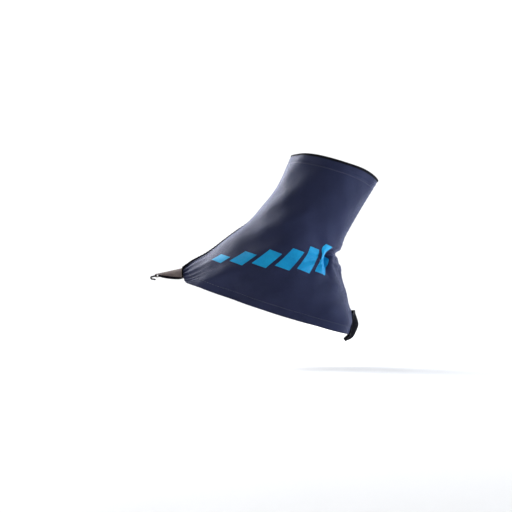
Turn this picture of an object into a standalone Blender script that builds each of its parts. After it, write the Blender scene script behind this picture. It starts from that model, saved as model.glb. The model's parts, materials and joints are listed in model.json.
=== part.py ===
"""Trail-running gaiter in its worn shape, for a left foot.

Frame: metres, +Z up, -X towards the toe, +X towards the heel, -Y the outer (lateral) side.
The origin is the centre of the ankle, on the axis that the ankle flexes about.

The fabric is one closed surface, described by two values:
  level  0 at the hem, 1 at the top rim
  turn   0 at the front centre, -pi..0 round the lateral side, 0..pi round the medial side
Every sewn layer is a shell between two depths below that surface.
"""

import functools
import math

import bmesh
import bpy
from mathutils import Matrix, Vector

MM = 0.001

# Cloth layers, from the outside in
FABRIC = 0.7 * MM
GAP = 0.3 * MM
ELASTIC = 0.7 * MM
FACING = 0.6 * MM
SEAM_GAP = 0.35 * MM
LINING_DEPTH = FABRIC + GAP
FACING_DEPTH = LINING_DEPTH + ELASTIC + GAP

# Silhouette seen from the side: (level, x mm, z mm)
FRONT_LINE = (
    (0.0, -112.0, -11.0),
    (0.10, -102.0, -4.2),
    (0.20, -88.8, 3.4),
    (0.35, -67.5, 19.8),
    (0.50, -50.0, 33.2),
    (0.65, -36.5, 48.4),
    (0.82, -21.5, 68.2),
    (1.0, -8.4, 97.0),
)
BACK_LINE = (
    (0.0, 46.8, -73.5),
    (0.07, 50.4, -63.0),
    (0.14, 49.4, -53.5),
    (0.20, 46.0, -45.0),
    (0.27, 43.6, -33.0),
    (0.34, 40.4, -23.0),
    (0.42, 38.6, -9.5),
    (0.50, 34.6, 1.8),
    (0.57, 39.4, 9.6),
    (0.65, 43.6, 20.0),
    (0.82, 56.6, 43.0),
    (1.0, 74.7, 72.7),
)
# Half width mm, and how blunt the section is at its front and back (0.5 is an ellipse)
SECTION_LINE = (
    (0.0, 40.6, 0.60, 0.38),
    (0.13, 43.6, 0.58, 0.40),
    (0.30, 41.0, 0.55, 0.45),
    (0.50, 37.0, 0.52, 0.52),
    (0.70, 35.0, 0.50, 0.50),
    (1.0, 36.5, 0.50, 0.50),
)
# The surface is flat between these lines, so that layers stay parallel
GRID_LEVELS = 24
GRID_TURNS = 60

# How far the hem arches down from its ends and the rim arches up, and over what range
HEM_DROP = 10.8 * MM
HEM_DROP_TURN = 0.45
HEM_DROP_LEVEL = 0.35
RIM_RISE = 4.5 * MM

# Where the fabric is divided so that the ankle can flex
SKIRT_TOP = 0.30
LEG_BOTTOM = 0.66
LEVEL_GAP = 0.003

# Hems and the patches that carry the tabs
HEM_TOP = 0.062
RIM_BOTTOM = 0.93
HEM_TURNS = (0.40, math.pi - 0.21)
FRONT_PATCH_TURNS = (-0.34, 0.34)
HEEL_PATCH_TURNS = (math.pi - 0.17, math.pi + 0.17)
HEEL_PATCH_TOP = 0.13
SEAM_TAPE_HALF = 2.4 * MM
SEAM_BOTTOM = 0.15

# Front tab and lace hook
TAB_ROOT = Vector((-0.1133, 0.0, -0.0112))
HOOK_PIN = Vector((-0.1376, 0.0, -0.0179))
TAB_ROOT_HALF = 7.5 * MM
TAB_ROOT_ARCH = 8.5 * MM
TAB_ARCH_END = 0.92
TAB_END_HALF = 2.8 * MM
TAB_THICK = 1.0 * MM
LOOP_RADIUS = 1.3 * MM
LOOP_TAIL = 13.5 * MM
HOOK_HALF = 4.6 * MM
HOOK_THICK = 1.0 * MM
HOOK_LENGTH = 5.4 * MM
HOOK_DROP = 0.9 * MM
HOOK_BEND = 1.25 * MM
HOOK_RETURN = 3.4 * MM
SLOT_HALF = 3.4 * MM
SLOT_START = 0.35 * MM
SLOT_END = 2.4 * MM

# Heel tab: centre line from its stitched top edge down, (x mm, z mm)
HEEL_TAB_LINE = (
    (52.1, -51.0),
    (52.6, -54.5),
    (54.0, -58.5),
    (55.2, -62.5),
    (55.2, -66.0),
    (51.0, -75.5),
    (48.0, -78.2),
    (43.0, -80.2),
)
HEEL_TAB_HALF = 12.0 * MM
HEEL_TAB_THICK = 1.2 * MM
HEEL_TAB_WRAP = 2.2 * MM
PAD_THICK = 1.4 * MM
HEEL_PAD_HALF = 9.0 * MM
HEEL_PAD_SPAN = 4

# Side tabs, tucked up inside the hem at midfoot
SIDE_TURN = 1.45
SIDE_LEVELS = (0.14, 0.025)
SIDE_TAB_HALF = 10.0 * MM
SIDE_TAB_THICK = 1.0 * MM
SIDE_TAB_CLEARANCE = 1.1 * MM
SIDE_PAD_HALF = 8.0 * MM
SIDE_PAD_SPAN = (4.0 * MM, 1.5 * MM)

# Printed motif on the lateral side: a row of slanted bars
BAR_COUNT = 6
BAR_THICK = 0.25 * MM
BAR_TURNS = (-0.52, -2.40)
BAR_BASES = (0.18, 0.325)
BAR_HEIGHTS = (0.05, 0.21)
BAR_SLANT = 1.1
BAR_FILL = 0.68

LABEL_TURNS = (2.72, 2.36)
LABEL_LEVELS = (0.80, 0.90)
LABEL_THICK = 0.35 * MM

COLOURS = {
    "navy_fabric": ((0.030, 0.034, 0.068), 0.78, 0.0),
    "seam_tape": ((0.020, 0.022, 0.045), 0.85, 0.0),
    "elastic": ((0.016, 0.017, 0.024), 0.80, 0.0),
    "taupe_webbing": ((0.125, 0.098, 0.090), 0.85, 0.0),
    "black_webbing": ((0.010, 0.010, 0.012), 0.75, 0.0),
    "hook_tape": ((0.014, 0.014, 0.016), 0.60, 0.0),
    "dark_metal": ((0.050, 0.048, 0.045), 0.35, 1.0),
    "cyan_print": ((0.008, 0.270, 0.520), 0.45, 0.0),
    "label_cloth": ((0.300, 0.300, 0.310), 0.80, 0.0),
}


def clear_scene():
    for obj in list(bpy.data.objects):
        bpy.data.objects.remove(obj)


def material(slot):
    """The Principled material of a slot, made once."""
    found = bpy.data.materials.get(slot)
    if found:
        return found
    colour, roughness, metallic = COLOURS[slot]
    made = bpy.data.materials.new(slot)
    made.use_nodes = True
    shader = made.node_tree.nodes["Principled BSDF"]
    shader.inputs["Base Color"].default_value = (*colour, 1.0)
    shader.inputs["Roughness"].default_value = roughness
    shader.inputs["Metallic"].default_value = metallic
    return made


def smooth_line(rows, level):
    """Values at a level on the smooth curve through rows of (level, value, ...)."""
    last = len(rows) - 1
    i = max(0, min(last - 1, sum(row[0] <= level for row in rows) - 1))
    low, high = rows[i], rows[i + 1]
    span = high[0] - low[0]
    s = (level - low[0]) / span

    def slope(k, axis):
        before, after = rows[max(0, k - 1)], rows[min(last, k + 1)]
        return (after[axis] - before[axis]) / (after[0] - before[0])

    values = []
    for axis in range(1, len(low)):
        start, end = low[axis], high[axis]
        leave, arrive = slope(i, axis) * span, slope(i + 1, axis) * span
        values.append(
            start * (2 * s**3 - 3 * s**2 + 1)
            + leave * (s**3 - 2 * s**2 + s)
            + end * (3 * s**2 - 2 * s**3)
            + arrive * (s**3 - s**2)
        )
    return values


def section_width(t, front_power, back_power):
    """Share of the half width at t along a section, 0 at its front and 1 at its back."""
    widest = front_power / (front_power + back_power)
    most = widest**front_power * (1 - widest) ** back_power
    return max(t, 0.0) ** front_power * max(1 - t, 0.0) ** back_power / most


def surface_point(level, turn):
    """A point of the outer face of the fabric."""
    turn = (turn + math.pi) % (2 * math.pi) - math.pi
    t = (1 - math.cos(turn)) / 2
    front_x, front_z = smooth_line(FRONT_LINE, level)
    back_x, back_z = smooth_line(BACK_LINE, level)
    half_width, front_power, back_power = smooth_line(SECTION_LINE, level)
    chord = Vector((back_x - front_x, 0, back_z - front_z))
    up = Vector((-chord.z, 0, chord.x)).normalized()
    s = min(1.0, abs(turn) / HEM_DROP_TURN)
    drop = HEM_DROP * s * s * (3 - 2 * s) * (1 - t * t)
    drop *= max(0.0, 1 - level / HEM_DROP_LEVEL) ** 2
    rise = RIM_RISE * level**2 * (1 - math.cos(turn) ** 4)
    point = (Vector((front_x, 0, front_z)) + chord * t) * MM
    point += up * (rise - drop)
    width = half_width * MM * section_width(t, front_power, back_power)
    point.y = math.copysign(width, turn)
    return point


def surface_normal(level, turn):
    """The outward normal of the fabric."""
    step_level, step_turn = 0.004, 0.02
    high = surface_point(min(1, level + step_level), turn)
    low = surface_point(max(0, level - step_level), turn)
    ahead = surface_point(level, turn + step_turn)
    behind = surface_point(level, turn - step_turn)
    normal = (ahead - behind).cross(high - low).normalized()
    middle = (surface_point(level, 0) + surface_point(level, math.pi)) / 2
    return normal if normal.dot(surface_point(level, turn) - middle) > 0 else -normal


@functools.lru_cache(maxsize=None)
def grid_point(i, j):
    """The surface point and its outward normal at a crossing of the grid."""
    level, turn = i / GRID_LEVELS, 2 * math.pi * j / GRID_TURNS
    return surface_point(level, turn), surface_normal(level, turn)


def layer_point(level, turn, depth):
    """A point at a depth below the outer face; a negative depth is above it."""
    row = level * GRID_LEVELS
    column = turn * GRID_TURNS / (2 * math.pi)
    i, j = min(math.floor(row), GRID_LEVELS - 1), math.floor(column)
    u, v = row - i, column - j
    point = Vector((0, 0, 0))
    for di, dj, share in (
        (0, 0, (1 - u) * (1 - v)),
        (0, 1, (1 - u) * v),
        (1, 0, u * (1 - v)),
        (1, 1, u * v),
    ):
        corner, normal = grid_point(i + di, (j + dj) % GRID_TURNS)
        point += (corner - normal * depth) * share
    return point


def grid_values(start, end, step):
    """start, the multiples of step between, and end."""
    low, high = min(start, end), max(start, end)
    first, last = math.ceil(low / step + 0.15), math.floor(high / step - 0.15)
    values = [low] + [k * step for k in range(first, last + 1)] + [high]
    return values if start < end else values[::-1]


def turn_at(level, half_gap, near_back):
    """The turn where a section is half_gap to the side of the centre plane."""
    low, high = 0.0, math.pi / 2
    for _ in range(40):
        middle = (low + high) / 2
        turn = math.pi - middle if near_back else middle
        if layer_point(level, turn, 0).y < half_gap:
            low = middle
        else:
            high = middle
    return math.pi - low if near_back else low


def add_object(name, slot, mesh):
    obj = bpy.data.objects.new(name, mesh)
    obj.data.materials.append(material(slot))
    bpy.context.scene.collection.objects.link(obj)
    return obj


def solid_between(name, slot, outer, inner, ring=False):
    """A closed solid between two grids of points. A ring's columns meet end to end."""
    bm = bmesh.new()
    rows, columns = len(outer), len(outer[0])
    top = [[bm.verts.new(p) for p in row] for row in outer]
    under = [[bm.verts.new(p) for p in row] for row in inner]
    last = columns if ring else columns - 1
    for i in range(rows - 1):
        for j in range(last):
            k = (j + 1) % columns
            bm.faces.new((top[i][j], top[i][k], top[i + 1][k], top[i + 1][j]))
            bm.faces.new((under[i][j], under[i + 1][j], under[i + 1][k], under[i][k]))
    for i in (0, rows - 1):
        for j in range(last):
            k = (j + 1) % columns
            bm.faces.new((top[i][j], top[i][k], under[i][k], under[i][j]))
    if not ring:
        for j in (0, columns - 1):
            for i in range(rows - 1):
                bm.faces.new((top[i][j], top[i + 1][j], under[i + 1][j], under[i][j]))
    bmesh.ops.recalc_face_normals(bm, faces=bm.faces)
    mesh = bpy.data.meshes.new(name)
    bm.to_mesh(mesh)
    bm.free()
    mesh.shade_smooth()
    mesh.set_sharp_from_angle(angle=math.radians(40))
    return add_object(name, slot, mesh)


def layer(name, slot, levels, turns_at, depth, thickness, ring=False):
    """A cloth layer between two levels. turns_at(level) gives its two turns there."""
    turn_step = 2 * math.pi / GRID_TURNS
    columns = [grid_values(*turns_at(level), turn_step) for level in levels]
    count = max(len(column) for column in columns)
    outer, inner = [], []
    for level in grid_values(*levels, 1 / GRID_LEVELS):
        start, end = turns_at(level)
        turns = grid_values(start, end, turn_step)
        if len(turns) != count or len(columns[0]) != len(columns[1]):
            turns = [start + (end - start) * j / (count - 1) for j in range(count)]
        if ring:
            turns = turns[:-1]
        outer.append([layer_point(level, turn, depth) for turn in turns])
        inner.append([layer_point(level, turn, depth + thickness) for turn in turns])
    return solid_between(name, slot, outer, inner, ring)


def side_turns(side):
    """turns_at for one whole side of the gaiter, from seam to seam."""
    return lambda level: (
        side * turn_at(level, SEAM_GAP, False),
        side * turn_at(level, SEAM_GAP, True),
    )


def fixed_turns(start, end):
    return lambda _level: (start, end)


def front_tape_turns(level):
    turn = turn_at(level, SEAM_TAPE_HALF, False)
    return -turn, turn


def rear_tape_turns(level):
    turn = turn_at(level, SEAM_TAPE_HALF, True)
    return turn, 2 * math.pi - turn


def ribbon(name, slot, stations, thickness, columns=7, rise=None):
    """A strip that follows (centre, half width, arch) stations in the XZ plane.

    Its middle stands the arch above its edges, along rise or along the strip's own normal.
    """
    outer, inner = [], []
    for i, (centre, half, arch) in enumerate(stations):
        before = stations[max(0, i - 1)][0]
        after = stations[min(len(stations) - 1, i + 1)][0]
        along = (after - before).normalized()
        normal = Vector((along.z, 0, -along.x))
        shares = [2 * j / (columns - 1) - 1 for j in range(columns)]
        middle = [
            centre + Vector((0, half * s, 0)) - (rise or normal) * arch * s * s
            for s in shares
        ]
        outer.append([p + normal * thickness / 2 for p in middle])
        inner.append([p - normal * thickness / 2 for p in middle])
    return solid_between(name, slot, outer, inner)


def fabric_panels():
    """Each side panel, in a skirt, an ankle and a leg zone."""
    zones = {
        "skirt": (0.0, SKIRT_TOP - LEVEL_GAP),
        "ankle": (SKIRT_TOP, LEG_BOTTOM),
        "leg": (LEG_BOTTOM + LEVEL_GAP, 1.0),
    }
    for side_name, side in (("lateral", -1), ("medial", 1)):
        for zone, levels in zones.items():
            name = f"{side_name}_{zone}_panel"
            layer(name, "navy_fabric", levels, side_turns(side), 0.0, FABRIC)


def hems():
    """Elastic and facing inside the hem, one of each a side, and inside the top rim."""
    elastic, facing = (0.006, HEM_TOP - 0.008), (0.002, HEM_TOP)
    for side_name, side in (("lateral", -1), ("medial", 1)):
        turns = fixed_turns(side * HEM_TURNS[0], side * HEM_TURNS[1])
        layer(f"{side_name}_hem_elastic", "elastic", elastic, turns, LINING_DEPTH, ELASTIC)
        layer(f"{side_name}_hem_facing", "navy_fabric", facing, turns, FACING_DEPTH, FACING)
    turns = fixed_turns(-math.pi, math.pi)
    elastic, facing = (RIM_BOTTOM + 0.008, 0.994), (RIM_BOTTOM, 0.998)
    layer("top_elastic", "elastic", elastic, turns, LINING_DEPTH, ELASTIC, ring=True)
    layer("top_facing", "navy_fabric", facing, turns, FACING_DEPTH, FACING, ring=True)


def seams():
    """Tapes over the front and rear seams, and the patches that back the two end tabs."""
    levels = (SEAM_BOTTOM, RIM_BOTTOM - 0.01)
    layer("front_seam_tape", "seam_tape", levels, front_tape_turns, LINING_DEPTH, FACING)
    layer("rear_seam_tape", "seam_tape", levels, rear_tape_turns, LINING_DEPTH, FACING)
    front, heel = fixed_turns(*FRONT_PATCH_TURNS), fixed_turns(*HEEL_PATCH_TURNS)
    levels = (0.004, HEM_TOP)
    layer("front_anchor_patch", "seam_tape", levels, front, LINING_DEPTH, FACING)
    levels = (0.004, HEEL_PATCH_TOP)
    layer("heel_anchor_patch", "seam_tape", levels, heel, LINING_DEPTH, FACING)


def front_tab():
    """Webbing that runs from the gathered tip of the fabric, round the hook's bar and back."""
    stations = []
    loop_top = HOOK_PIN + Vector((0, 0, LOOP_RADIUS))
    straight = 14
    for i in range(straight):
        s = i / straight
        centre = TAB_ROOT.lerp(loop_top, s)
        half = TAB_ROOT_HALF + (TAB_END_HALF - TAB_ROOT_HALF) * s
        arch = TAB_ROOT_ARCH * max(0.0, 1 - s / TAB_ARCH_END) ** 0.75
        stations.append((centre, half, arch))
    arc_steps = 10
    for i in range(arc_steps + 1):
        angle = math.pi / 2 + math.pi * i / arc_steps
        spoke = Vector((math.cos(angle), 0, math.sin(angle))) * LOOP_RADIUS
        stations.append((HOOK_PIN + spoke, TAB_END_HALF, 0.0))
    tail = stations[-1][0] + Vector((LOOP_TAIL, 0, -0.0008))
    stations.append((tail, TAB_END_HALF, 0.0))
    ribbon("front_tab", "taupe_webbing", stations, TAB_THICK, rise=Vector((0, 0, 1)))


def lace_hook():
    """Flat metal hook: a slotted plate whose end turns under and back."""
    bar_end = HOOK_PIN + Vector((SLOT_START, 0, 0))
    bend_top = HOOK_PIN + Vector((HOOK_BEND - HOOK_LENGTH, 0, -HOOK_DROP))
    stations = [(bar_end.lerp(bend_top, i / 5), HOOK_HALF, 0.0) for i in range(6)]
    bend_centre = bend_top - Vector((0, 0, HOOK_BEND))
    for i in range(1, 9):
        angle = math.pi / 2 + math.pi * i / 8
        spoke = Vector((math.cos(angle), 0, math.sin(angle))) * HOOK_BEND
        stations.append((bend_centre + spoke, HOOK_HALF - 0.2 * MM * i, 0.0))
    tip = stations[-1][0] + Vector((HOOK_RETURN, 0, -0.0004))
    stations.append((tip, HOOK_HALF - 2.6 * MM, 0.0))
    hook = ribbon("lace_hook", "dark_metal", stations, HOOK_THICK)
    slot = bmesh.new()
    bmesh.ops.create_cube(slot, size=1.0)
    middle = HOOK_PIN - Vector(((SLOT_START + SLOT_END) / 2, 0, 0))
    scale = Matrix.Diagonal((SLOT_END - SLOT_START, 2 * SLOT_HALF, 8 * MM, 1))
    slot.transform(Matrix.Translation(middle) @ scale)
    mesh = bpy.data.meshes.new("slot_cutter")
    slot.to_mesh(mesh)
    slot.free()
    cutter = bpy.data.objects.new("slot_cutter", mesh)
    bpy.context.scene.collection.objects.link(cutter)
    cutter.hide_render = True
    cutter.display_type = "WIRE"
    cut = hook.modifiers.new("slot", "BOOLEAN")
    cut.operation = "DIFFERENCE"
    cut.object = cutter


def heel_tab():
    """The tab behind the heel, and the flat pad of hook tape on its inner face."""
    points = [Vector((x, 0, z)) * MM for x, z in HEEL_TAB_LINE]
    stations = [(p, HEEL_TAB_HALF, HEEL_TAB_WRAP) for p in reversed(points)]
    stations = [(p, half, 0.0 if k < 4 else wrap) for k, (p, half, wrap) in enumerate(stations)]
    ribbon("heel_tab", "black_webbing", stations, HEEL_TAB_THICK)
    top, bottom = points[HEEL_PAD_SPAN], points[HEEL_PAD_SPAN + 1]
    down = (bottom - top).normalized()
    inward = Vector((down.z, 0, -down.x))
    lift = inward * (HEEL_TAB_THICK / 2 + GAP + PAD_THICK / 2)
    ends = (bottom + lift - down * 0.4 * MM, top + lift + down * 0.4 * MM)
    pad = [(p, HEEL_PAD_HALF, 0.0) for p in ends]
    ribbon("heel_hook_pad", "hook_tape", pad, PAD_THICK, columns=2)


def side_frame(side):
    """Hinge point, length, and the ways along the hem, down and inwards of one side tab."""
    turn = side * SIDE_TURN
    depth = FACING_DEPTH + FACING + SIDE_TAB_CLEARANCE
    hinge, end = (layer_point(level, turn, depth) for level in SIDE_LEVELS)
    down = (end - hinge).normalized()
    ahead = layer_point(SIDE_LEVELS[0], turn + 0.1, depth)
    behind = layer_point(SIDE_LEVELS[0], turn - 0.1, depth)
    inward = down.cross(ahead - behind).normalized()
    inward *= -1 if inward.y * side > 0 else 1
    return hinge, (end - hinge).length, down.cross(inward), down, inward


def plate(name, slot, frame, half, span, depths):
    """A flat plate in a side tab's frame: half wide, over a span downwards and a depth range."""
    hinge, _length, along, down, inward = frame

    def face(depth):
        return [
            [hinge + along * u * half + down * v + inward * depth for u in (-1, 1)]
            for v in span
        ]

    solid_between(name, slot, face(depths[1]), face(depths[0]))


def side_tabs():
    for side_name, side in (("lateral", -1), ("medial", 1)):
        frame = side_frame(side)
        length = frame[1]
        tab = (0.0, SIDE_TAB_THICK)
        pad = (SIDE_TAB_THICK + GAP, SIDE_TAB_THICK + GAP + PAD_THICK)
        pad_span = (SIDE_PAD_SPAN[0], length - SIDE_PAD_SPAN[1])
        span = (0.0, length)
        plate(f"{side_name}_side_tab", "black_webbing", frame, SIDE_TAB_HALF, span, tab)
        plate(f"{side_name}_hook_pad", "hook_tape", frame, SIDE_PAD_HALF, pad_span, pad)


def printed_bars():
    """Slanted bars that grow taller towards the heel, printed on the lateral side."""
    pitch = (BAR_TURNS[1] - BAR_TURNS[0]) / BAR_COUNT
    for k in range(BAR_COUNT):
        share = k / (BAR_COUNT - 1)
        start = BAR_TURNS[0] + pitch * k
        low = BAR_BASES[0] + (BAR_BASES[1] - BAR_BASES[0]) * share
        high = low + BAR_HEIGHTS[0] + (BAR_HEIGHTS[1] - BAR_HEIGHTS[0]) * share

        def turns_at(level, start=start, low=low):
            lean = BAR_SLANT * (level - low)
            return start - lean, start - lean + pitch * BAR_FILL

        name = f"print_bar_{k + 1}"
        layer(name, "cyan_print", (low, high), turns_at, -GAP - BAR_THICK, BAR_THICK)


def care_label():
    turns = fixed_turns(*LABEL_TURNS)
    layer("care_label", "label_cloth", LABEL_LEVELS, turns, FACING_DEPTH, LABEL_THICK)


def main():
    clear_scene()
    fabric_panels()
    hems()
    seams()
    front_tab()
    lace_hook()
    heel_tab()
    side_tabs()
    printed_bars()
    care_label()


main()
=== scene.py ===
"""The looks of a trail-running gaiter in its worn shape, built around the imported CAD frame.

Lengths in the tables are millimetres. Every cloth piece is laid on one folded surface, which has two
coordinates: level runs from 0 at the hem to 1 at the rim, and lap from -1 at the back seam, round the lateral
side to 0 at the front seam, and round the medial side to 1 at the back seam again.
"""

import json
import math

import bpy
import numpy as np
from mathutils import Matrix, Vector

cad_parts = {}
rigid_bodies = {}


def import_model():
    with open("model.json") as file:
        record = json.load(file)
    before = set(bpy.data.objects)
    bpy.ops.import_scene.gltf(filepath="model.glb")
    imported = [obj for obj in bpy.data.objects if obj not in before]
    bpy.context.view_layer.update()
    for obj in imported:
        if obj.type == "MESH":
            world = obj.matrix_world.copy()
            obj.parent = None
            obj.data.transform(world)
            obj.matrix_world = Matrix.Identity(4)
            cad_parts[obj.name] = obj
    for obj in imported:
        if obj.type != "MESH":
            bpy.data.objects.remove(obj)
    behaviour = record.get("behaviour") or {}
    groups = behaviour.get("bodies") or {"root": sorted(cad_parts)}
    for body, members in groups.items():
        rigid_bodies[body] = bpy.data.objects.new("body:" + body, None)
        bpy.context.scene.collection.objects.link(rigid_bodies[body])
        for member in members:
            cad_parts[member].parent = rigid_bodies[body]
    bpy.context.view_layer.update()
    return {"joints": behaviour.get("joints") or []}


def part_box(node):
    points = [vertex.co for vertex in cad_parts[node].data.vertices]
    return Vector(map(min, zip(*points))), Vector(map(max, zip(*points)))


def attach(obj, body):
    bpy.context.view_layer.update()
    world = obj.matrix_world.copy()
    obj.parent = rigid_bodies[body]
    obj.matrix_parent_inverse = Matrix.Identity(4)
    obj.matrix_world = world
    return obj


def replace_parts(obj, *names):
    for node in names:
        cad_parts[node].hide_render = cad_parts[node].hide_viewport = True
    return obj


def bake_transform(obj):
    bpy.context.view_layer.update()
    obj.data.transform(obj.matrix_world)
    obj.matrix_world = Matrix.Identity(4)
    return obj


for obj in list(bpy.data.objects):
    bpy.data.objects.remove(obj)
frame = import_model()

MM = 0.001
TAU = 2 * math.pi
SIDES = (("lateral", -1), ("medial", 1))


def link(name, data):
    """A new object in the scene."""
    made = bpy.data.objects.new(name, data)
    bpy.context.scene.collection.objects.link(made)
    return made


def lerp(a, b, share):
    return a + (b - a) * share


def path_lengths(points):
    """How far along a path each of its points is."""
    return np.r_[0, np.cumsum(np.linalg.norm(np.diff(points, axis=0), axis=1))]


# --- the folded surface ---

FRONT_LINE = (
    (0.0, -112.0, -11.0), (0.1, -102.0, -4.2), (0.2, -88.8, 3.4), (0.35, -67.5, 19.8),
    (0.5, -50.0, 33.2), (0.65, -36.5, 48.4), (0.82, -21.5, 68.2), (1.0, -8.4, 97.0),
)
BACK_LINE = (
    (0.0, 46.8, -73.5), (0.07, 50.4, -63.0), (0.14, 49.4, -53.5), (0.2, 46.0, -45.0),
    (0.27, 43.6, -33.0), (0.34, 40.4, -23.0), (0.42, 38.6, -9.5), (0.5, 34.6, 1.8), (0.57, 39.4, 9.6),
    (0.65, 43.6, 20.0), (0.82, 56.6, 43.0), (1.0, 74.7, 72.7),
)
SECTION_LINE = (
    (0.0, 40.6, 0.6, 0.38), (0.13, 43.6, 0.58, 0.4), (0.3, 41.0, 0.55, 0.45), (0.5, 37.0, 0.52, 0.52),
    (0.7, 35.0, 0.5, 0.5), (1.0, 36.5, 0.5, 0.5),
)
HEM_DROP, HEM_DROP_TURN, HEM_DROP_LEVEL, RIM_RISE = 10.8, 0.45, 0.35, 4.5
ROWS, COLUMNS = 236, 205  # of one side panel
TURNS = 900

# The crest that runs back from the front tab, (x, z, height)
CREST = (
    (-112.0, -13.0, 0.4), (-101.0, -10.0, 1.2), (-84.5, -5.0, 1.3), (-70.0, -2.0, 0.7),
    (-50.0, 1.0, 0.0),
)
# The edge of the shoe's collar under the cloth, (x, z, height): the cloth turns inwards below it
COLLAR = (
    (-106.0, -22.5, 0.2), (-94.0, -23.0, 0.9), (-82.0, -19.5, 1.9), (-68.0, -14.0, 2.4),
    (-51.0, -10.5, 2.3), (-33.0, -9.0, 1.6), (-8.0, -12.0, 0.7), (15.0, -18.0, 0.0),
)
# The fold pinched in behind the ankle, (x, z, depth)
PINCH = (
    (40.0, 1.5, 0.2), (35.0, 3.4, 1.2), (30.0, 5.0, 3.4), (26.0, 3.0, 4.6), (23.6, -2.0, 4.6),
    (23.4, -8.0, 3.4), (25.0, -14.5, 1.6), (29.0, -22.0, 0.0),
)
TUCK = 3.1  # how far the cloth turns inwards below the collar, for each mm of its height


def smooth_line(rows, level):
    """Values at an array of levels, on the smooth curve through rows of (level, value, ...)."""
    rows = np.array(rows, float)
    at, values = rows[:, 0], rows[:, 1:]
    before, after = np.r_[0, 0 : len(at) - 1], np.r_[1 : len(at), len(at) - 1]
    slopes = (values[after] - values[before]) / (at[after] - at[before])[:, None]
    i = np.clip(np.searchsorted(at, level, side="right") - 1, 0, len(at) - 2)
    span = (at[i + 1] - at[i])[..., None]
    s = (level - at[i])[..., None] / span
    return (
        values[i] * (2 * s**3 - 3 * s**2 + 1)
        + slopes[i] * span * (s**3 - 2 * s**2 + s)
        + values[i + 1] * (3 * s**2 - 2 * s**3)
        + slopes[i + 1] * span * (s**3 - s**2)
    )


def plain_surface(level, turn, side):
    """The cloth's outer face before its folds. turn is 0 at the front centre and pi at the back."""
    front, back = smooth_line(FRONT_LINE, level), smooth_line(BACK_LINE, level)
    half_width, front_power, back_power = np.moveaxis(smooth_line(SECTION_LINE, level), -1, 0)
    t = (1 - np.cos(turn)) / 2
    widest = front_power / (front_power + back_power)
    most = widest**front_power * (1 - widest) ** back_power
    chord = back - front
    up = np.stack([-chord[..., 1], chord[..., 0]], -1)
    up /= np.linalg.norm(up, axis=-1, keepdims=True)
    s = np.minimum(1, turn / HEM_DROP_TURN)
    drop = HEM_DROP * s * s * (3 - 2 * s) * (1 - t * t)
    drop = drop * np.maximum(0, 1 - level / HEM_DROP_LEVEL) ** 2
    rise = RIM_RISE * level**2 * (1 - np.cos(turn) ** 4)
    place = front + chord * t[..., None] + up * (rise - drop)[..., None]
    width = side * half_width * t**front_power * (1 - t) ** back_power / most
    return np.stack([place[..., 0], width, place[..., 1]], -1)


def unit(vectors):
    return vectors / np.linalg.norm(vectors, axis=-1, keepdims=True)


def lengths_along(points, axis):
    """How far each point is along its row or column."""
    steps = np.linalg.norm(np.diff(points, axis=axis), axis=-1)
    pad = [(0, 0), (0, 0)]
    pad[axis] = (1, 0)
    return np.pad(np.cumsum(steps, axis=axis), pad)


def normals_of(points):
    """Outward normals of a ring of points that closes on itself: its first and last columns are one."""
    wrapped = np.concatenate([points[:, -2:-1], points, points[:, 1:2]], axis=1)
    around = wrapped[:, 2:] - wrapped[:, :-2]
    return unit(np.cross(np.gradient(points, axis=0), around))


def ripples(a, b, waves):
    """The sum of waves of (height, length along a, length along b, phase)."""
    return sum(h * np.sin(TAU * (a / la + b / lb) + phase) for h, la, lb, phase in waves)


def to_path(x, z, path):
    """Distance to a path of (x, z, size), its size there, and which side: 1 on its left."""
    best = np.full(x.shape, 1e9)
    size, side = np.zeros(x.shape), np.ones(x.shape)
    for (ax, az, a_size), (bx, bz, b_size) in zip(path, path[1:]):
        dx, dz = bx - ax, bz - az
        s = np.clip(((x - ax) * dx + (z - az) * dz) / (dx * dx + dz * dz), 0, 1)
        off_x, off_z = x - ax - s * dx, z - az - s * dz
        away = np.hypot(off_x, off_z)
        near = away < best
        best = np.where(near, away, best)
        size = np.where(near, lerp(a_size, b_size, s), size)
        side = np.where(near, np.sign(dx * off_z - dz * off_x), side)
    return best, size, side


def bell(x, width):
    return np.exp(-((x / width) ** 2))


def window(x, low, high, soft):
    """1 between low and high, falling to 0 over soft beyond them."""
    return np.clip((x - low) / soft + 1, 0, 1) * np.clip((high - x) / soft + 1, 0, 1)


def soft_step(x):
    x = np.clip(x, 0, 1)
    return x * x * (3 - 2 * x)


def broad_folds(points, side, front, back, low):
    """How far the cloth stands out in its broad folds."""
    x, z = points[..., 0], points[..., 2]
    free = (1 - bell(front, 14)) * (1 - bell(back, 14))
    waves = ((0.5, 63, 85, 0.3), (0.32, -47, 41, 1.7), (0.2, 29, -53, 4.1), (0.12, 21, 34, 2.2))
    out = free * ripples(front + 40 * side, low, waves)
    away, size, left = to_path(x, z, CREST)
    out = out + size * bell(away, np.where(left > 0, 7.0, 5.0))
    away, size, left = to_path(x, z, COLLAR)
    out = out + size * bell(away, np.where(left > 0, 9.0, 6.0))
    out = out - TUCK * size * soft_step(away / 17) * (left < 0) * soft_step((-44 - x) / 34)
    away, depth, left = to_path(x, z, PINCH)
    out = out - depth * bell(away, 2.0)
    out = out + 0.36 * depth * bell(away - 4.6, np.where(left > 0, 2.2, 2.6))
    reach, angle = np.hypot(x - 24, z + 3), np.arctan2(z + 3, x - 24)
    out = out + 0.4 * np.sin(9 * angle + 1.3 * np.sin(2 * angle) + 0.6) * bell(reach - 17, 11)
    return out + 0.8 * bell(back - 9, 4.5) * window(z, -46, -14, 12)


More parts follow.
